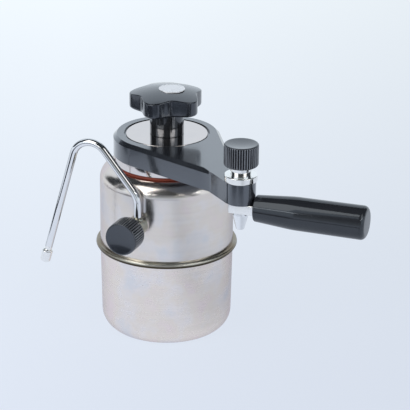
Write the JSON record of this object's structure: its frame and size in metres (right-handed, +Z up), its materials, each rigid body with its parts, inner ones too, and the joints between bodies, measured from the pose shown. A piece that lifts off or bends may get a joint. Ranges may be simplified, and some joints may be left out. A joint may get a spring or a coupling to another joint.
{
  "type": "stovetop espresso maker",
  "caption": "Steel stovetop boiler with a screwed-down lid, a side arm that carries the coffee tap and the handle, and a bent steam wand with its own valve.",
  "frame": {"origin": "middle of the boiler's flat foot, on the surface that it stands on", "axes": "+Z up along the boiler; +X along the handle, away from the tap; the steam valve points to -Y"},
  "size_m": [0.287, 0.173, 0.2116],
  "materials": {
    "shell_steel": "satin drawn steel with faint heat tints",
    "seam_steel": "rolled seam with a straw-brown heat tint",
    "inner_steel": "plain drawn or turned steel",
    "mirror_steel": "mirror polished",
    "chrome": "bright plated",
    "warm_chrome": "plated brass, warm where the plating is thin",
    "brass": "turned",
    "arm_black": "moulded, glossy top",
    "knob_black": "moulded, satin gloss",
    "grip_black": "moulded, polished",
    "red_silicone": "moulded, matte",
    "packing": "pressed ring",
    "pale_disc": "plain, satin"
  },
  "bodies": {
    "boiler": {"lower_shell": "shell_steel", "upper_shell": "shell_steel", "seam_ring": "seam_steel", "mouth_ring": "inner_steel", "rod_anchor": "inner_steel", "stay_rod": "inner_steel", "steam_pad": "shell_steel", "steam_valve_body": "warm_chrome", "steam_lock_nut": "brass", "steam_gland_nut": "warm_chrome", "steam_wand": "mirror_steel", "wand_tip": "mirror_steel", "safety_pad": "shell_steel", "safety_valve_body": "brass", "safety_cap": "brass", "safety_spring": "inner_steel"},
    "steam_packing": {"steam_packing": "packing"},
    "steam_knob": {"steam_stem": "brass", "steam_knob": "knob_black"},
    "safety_poppet": {"safety_poppet": "brass"},
    "basket": {"coffee_funnel": "inner_steel", "lower_filter": "inner_steel"},
    "lid": {"lid_cap": "mirror_steel", "lid_gasket": "red_silicone", "upper_filter": "inner_steel", "lid_bush": "inner_steel", "collar_arm": "arm_black", "collar_clip": "arm_black", "coffee_duct": "inner_steel", "coffee_valve_body": "chrome", "coffee_gland_nut": "chrome", "coffee_spout": "chrome", "handle_rod": "inner_steel", "handle_grip": "grip_black"},
    "coffee_packing": {"coffee_packing": "packing"},
    "coffee_knob": {"coffee_stem": "brass", "coffee_knob": "knob_black"},
    "thrust_washer": {"thrust_washer": "brass"},
    "star_knob": {"star_knob": "knob_black", "knob_neck": "knob_black", "knob_nut": "brass", "knob_disc": "pale_disc"}
  },
  "joints": [
    {"name": "basket_lift", "type": "slide", "parent": "boiler", "child": "basket", "axis": [0, 0, 1], "range_m": [0, 0.15]},
    {"name": "lid_lift", "type": "slide", "parent": "basket", "child": "lid", "axis": [0, 0, 1], "range_m": [0, 0.06]},
    {"name": "star_knob_turn", "type": "hinge", "parent": "lid", "child": "thrust_washer", "pos_m": [0, 0, 0.1735], "axis": [0, 0, 1], "range_deg": [0, 3600.5]},
    {"name": "star_knob_rise", "type": "slide", "parent": "thrust_washer", "child": "star_knob", "axis": [0, 0, 1], "range_m": [0, 0.015]},
    {"name": "coffee_knob_turn", "type": "hinge", "parent": "lid", "child": "coffee_packing", "pos_m": [0.09245, -0.08413, 0.1855], "axis": [0, 0, 1], "range_deg": [0, 540.5]},
    {"name": "coffee_knob_rise", "type": "slide", "parent": "coffee_packing", "child": "coffee_knob", "axis": [0, 0, 1], "range_m": [0, 0.0015]},
    {"name": "steam_knob_turn", "type": "hinge", "parent": "boiler", "child": "steam_packing", "pos_m": [0, 0, 0.1115], "axis": [-0.061, -0.9981, 0], "range_deg": [0, 540.5]},
    {"name": "steam_knob_rise", "type": "slide", "parent": "steam_packing", "child": "steam_knob", "axis": [-0.061, -0.9981, 0], "range_m": [0, 0.0015]},
    {"name": "safety_lift", "type": "slide", "parent": "boiler", "child": "safety_poppet", "axis": [-0.2419, 0.9703, 0], "range_m": [0, 0.0015], "stiffness_N_per_m": 3000, "springref_m": -0.002, "deforming": ["safety_spring"]}
  ],
  "couplings": [
    {"joint": "star_knob_turn", "follows": "star_knob_rise", "rad_per_m": 4188.8},
    {"joint": "coffee_knob_turn", "follows": "coffee_knob_rise", "rad_per_m": 6283.2},
    {"joint": "steam_knob_turn", "follows": "steam_knob_rise", "rad_per_m": 6283.2}
  ]
}
